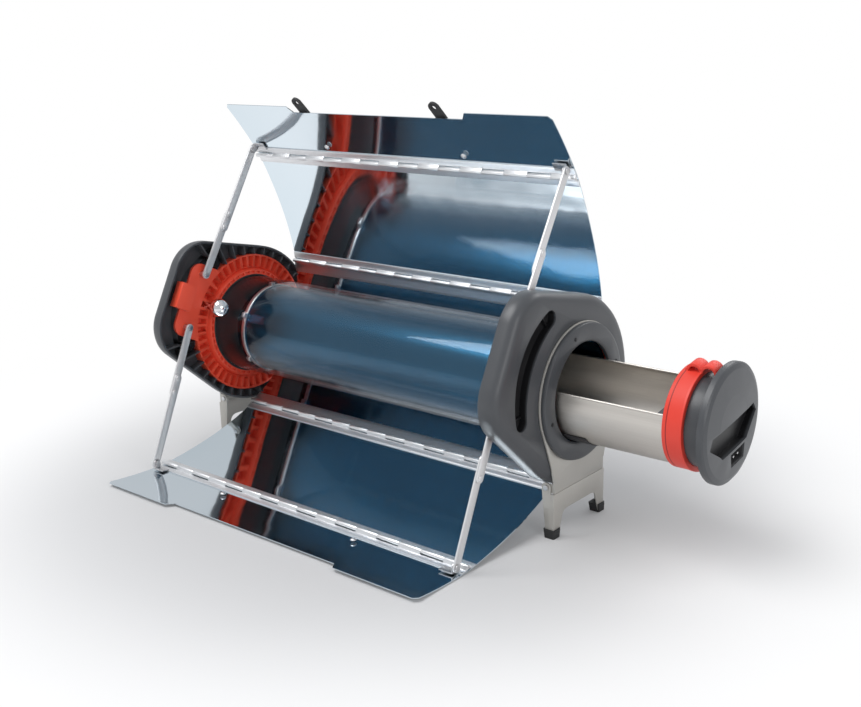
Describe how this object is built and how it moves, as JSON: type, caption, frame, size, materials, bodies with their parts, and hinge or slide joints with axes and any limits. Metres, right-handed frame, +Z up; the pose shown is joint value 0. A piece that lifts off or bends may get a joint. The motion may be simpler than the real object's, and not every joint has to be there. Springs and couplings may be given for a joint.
{
  "type": "solar cooker",
  "caption": "Solar tube cooker: glass tube between two moulded caps, folding mirror wings with stays, sliding steel tray with lid, and two folding legs on rubber boots",
  "frame": {"origin": "on the floor midway between the four rubber boots, under the tube's axis", "axes": "+X along the tube toward the tray's lid, -Y to the open side of the reflector, +Z up"},
  "size_m": [0.7185, 0.3443, 0.4493],
  "materials": {
    "leg_paint": "satin warm silver powder coat on sheet steel",
    "steel": "plain bright steel pins, rods and rivets",
    "boot_rubber": "soft black rubber, matt",
    "cap_plastic": "satin anthracite moulded plastic with a fine grain",
    "red_silicone": "soft orange-red silicone",
    "red_plastic": "satin orange-red heat proof moulding",
    "clear_glass": "clear borosilicate glass",
    "absorber_coat": "deep blue-black selective coating on glass, glossy",
    "mirror_sheet": "polished aluminium mirror sheet, slightly blue",
    "rail_aluminium": "bright aluminium, lightly brushed along its length",
    "chrome_ball": "polished chrome",
    "tray_steel": "brushed stainless steel, warm from heat",
    "pad_black": "matt black"
  },
  "bodies": {
    "stand": {"leg_bracket_right": "leg_paint", "leg_bracket_left": "leg_paint", "leg_hinge_pins_right": "steel", "leg_hinge_pins_left": "steel"},
    "leg_right": {"leg_frame_right": "leg_paint", "foot_boots_right": "boot_rubber"},
    "leg_left": {"leg_frame_left": "leg_paint", "foot_boots_left": "boot_rubber"},
    "chassis": {"end_cap_right": "cap_plastic", "end_cap_left": "cap_plastic", "fin_liner_right": "red_plastic", "fin_liner_left": "red_plastic", "bezel_right": "cap_plastic", "bezel_left": "cap_plastic", "bezel_screws_right": "steel", "bezel_screws_left": "steel", "outer_glass": "clear_glass", "absorber_tube": "absorber_coat", "tube_collar_right": "boot_rubber", "tube_collar_left": "boot_rubber", "tube_clip": "steel", "rear_reflector": "mirror_sheet", "rail_upper": "rail_aluminium", "rail_lower": "rail_aluminium", "root_rod_upper": "steel", "root_rod_lower": "steel", "stay_pivots_right": "steel", "stay_pivots_left": "steel", "ball_stud": "chrome_ball"},
    "wing_upper": {"panel_upper": "mirror_sheet", "root_leaf_upper": "rail_aluminium", "edge_leaf_upper": "rail_aluminium", "edge_rod_upper": "steel"},
    "wing_lower": {"panel_lower": "mirror_sheet", "root_leaf_lower": "rail_aluminium", "edge_leaf_lower": "rail_aluminium", "edge_rod_lower": "steel"},
    "flap_up": {"flap_upper": "mirror_sheet", "flap_leaf_upper": "rail_aluminium", "stay_brackets_upper": "steel", "latch_anchors": "steel"},
    "flap_low": {"flap_lower": "mirror_sheet", "flap_leaf_lower": "rail_aluminium", "stay_brackets_lower": "steel", "latch_keepers": "steel"},
    "stay_in_up": {"stay_inner_upper": "rail_aluminium"},
    "stay_in_low": {"stay_inner_lower": "rail_aluminium"},
    "stay_out_up": {"stay_outer_upper": "rail_aluminium"},
    "stay_out_low": {"stay_outer_lower": "rail_aluminium"},
    "latch_right": {"latch_strap_right": "boot_rubber"},
    "latch_left": {"latch_strap_left": "boot_rubber"},
    "tray": {"cooking_tray": "tray_steel", "heater_pad": "pad_black", "tray_band": "red_silicone", "tray_plug": "cap_plastic", "lid": "cap_plastic", "power_socket": "pad_black", "power_pins": "steel"}
  },
  "joints": [
    {"name": "tilt", "type": "hinge", "parent": "stand", "child": "chassis", "pos_m": [0, 0, 0.152], "axis": [-1, 0, 0], "range_deg": [0, 63]},
    {"name": "leg_fold_right", "type": "hinge", "parent": "stand", "child": "leg_right", "pos_m": [0.2585, 0, 0.0565], "axis": [0, 1, 0], "range_deg": [0, 17.5]},
    {"name": "leg_fold_left", "type": "hinge", "parent": "stand", "child": "leg_left", "pos_m": [-0.2585, 0, 0.0565], "axis": [0, -1, 0], "range_deg": [0, 17.5]},
    {"name": "wing_fold_upper", "type": "hinge", "parent": "chassis", "child": "wing_upper", "pos_m": [0, 0.07516, 0.22431], "axis": [1, 0, 0], "range_deg": [0, 51]},
    {"name": "wing_fold_lower", "type": "hinge", "parent": "chassis", "child": "wing_lower", "pos_m": [0, -0.01432, 0.04869], "axis": [-1, 0, 0], "range_deg": [0, 51]},
    {"name": "flap_fold_upper", "type": "hinge", "parent": "wing_upper", "child": "flap_up", "pos_m": [0, 0.02281, 0.36923], "axis": [1, 0, 0], "range_deg": [0, 48]},
    {"name": "flap_fold_lower", "type": "hinge", "parent": "wing_lower", "child": "flap_low", "pos_m": [0, -0.16233, 0.00586], "axis": [-1, 0, 0], "range_deg": [0, 48]},
    {"name": "stay_swing_upper", "type": "hinge", "parent": "chassis", "child": "stay_in_up", "pos_m": [0, -0.07499, 0.22949], "axis": [-1, 0, 0], "range_deg": [0, 59]},
    {"name": "stay_swing_lower", "type": "hinge", "parent": "chassis", "child": "stay_in_low", "pos_m": [0, -0.10677, 0.16712], "axis": [1, 0, 0], "range_deg": [0, 59]},
    {"name": "stay_hang_upper", "type": "hinge", "parent": "flap_up", "child": "stay_out_up", "pos_m": [0, 0.01204, 0.37821], "axis": [1, 0, 0], "range_deg": [-2, 2]},
    {"name": "stay_hang_lower", "type": "hinge", "parent": "flap_low", "child": "stay_out_low", "pos_m": [0, -0.17593, 0.0093], "axis": [-1, 0, 0], "range_deg": [-2, 2]},
    {"name": "latch_lift_right", "type": "hinge", "parent": "flap_up", "child": "latch_right", "pos_m": [0, 0.01783, 0.39068], "axis": [-1, 0, 0], "range_deg": [0, 60]},
    {"name": "latch_lift_left", "type": "hinge", "parent": "flap_up", "child": "latch_left", "pos_m": [0, 0.01783, 0.39068], "axis": [-1, 0, 0], "range_deg": [0, 60]},
    {"name": "tray_slide", "type": "slide", "parent": "chassis", "child": "tray", "axis": [1, 0, 0], "range_m": [-0.118, 0.29]}
  ],
  "couplings": [
    {"joint": "flap_fold_upper", "follows": "wing_fold_upper", "ratio": 0.93},
    {"joint": "flap_fold_lower", "follows": "wing_fold_lower", "ratio": 0.93},
    {"joint": "stay_swing_upper", "follows": "wing_fold_upper", "ratio": 1.14},
    {"joint": "stay_swing_lower", "follows": "wing_fold_lower", "ratio": 1.14},
    {"joint": "stay_hang_upper", "follows": "wing_fold_upper", "ratio": 0.027},
    {"joint": "stay_hang_lower", "follows": "wing_fold_lower", "ratio": 0.027}
  ]
}
